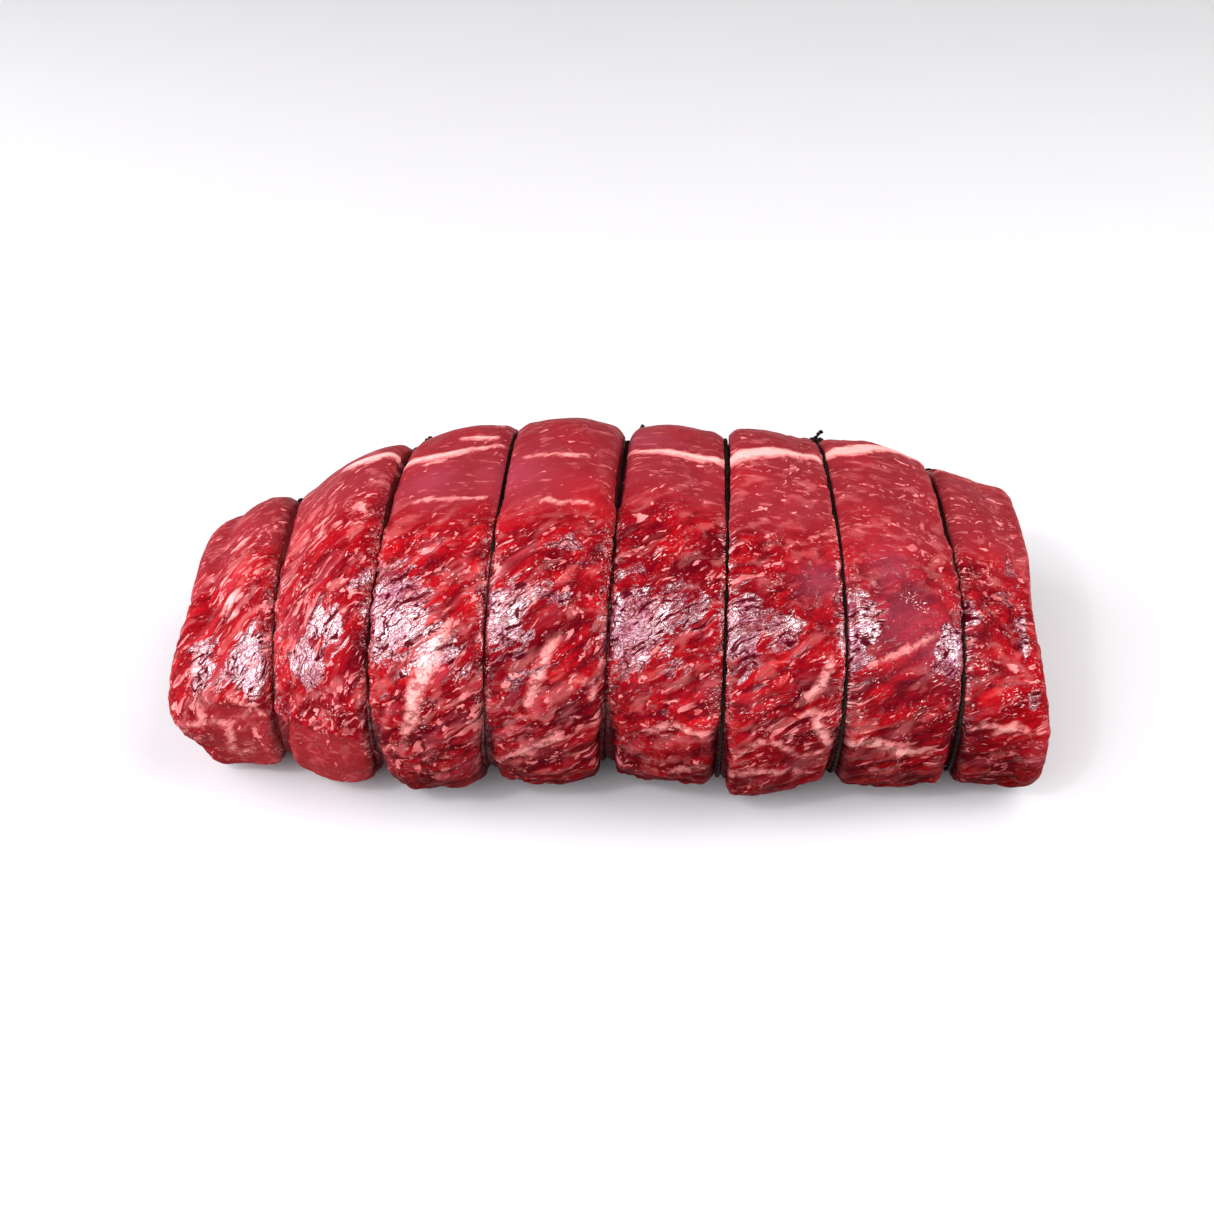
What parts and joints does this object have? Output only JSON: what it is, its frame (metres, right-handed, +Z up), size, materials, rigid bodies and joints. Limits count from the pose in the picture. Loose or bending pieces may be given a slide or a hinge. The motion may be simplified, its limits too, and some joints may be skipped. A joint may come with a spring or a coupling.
{
  "type": "tied beef roast",
  "caption": "Whole raw marbled beef roast, lobed by crosswise loops of thin dark butcher's twine, resting on its flat underside.",
  "frame": {"origin": "on the floor under the middle of the roast's box", "axes": "+X along the length towards the blunt end, -Y the front that the picture shows, +Z up"},
  "size_m": [0.2281, 0.1143, 0.0747],
  "materials": {
    "beef": "raw beef: deep red lean with pink fat flecks and veins, moist, with a wet sheen",
    "twine": "near-black twisted twine, matt and slightly damp"
  },
  "bodies": {
    "root": {"roast": "beef", "tie_1": "twine", "tie_2": "twine", "tie_3": "twine", "tie_4": "twine", "tie_5": "twine", "tie_6": "twine", "tie_7": "twine"}
  },
  "joints": []
}
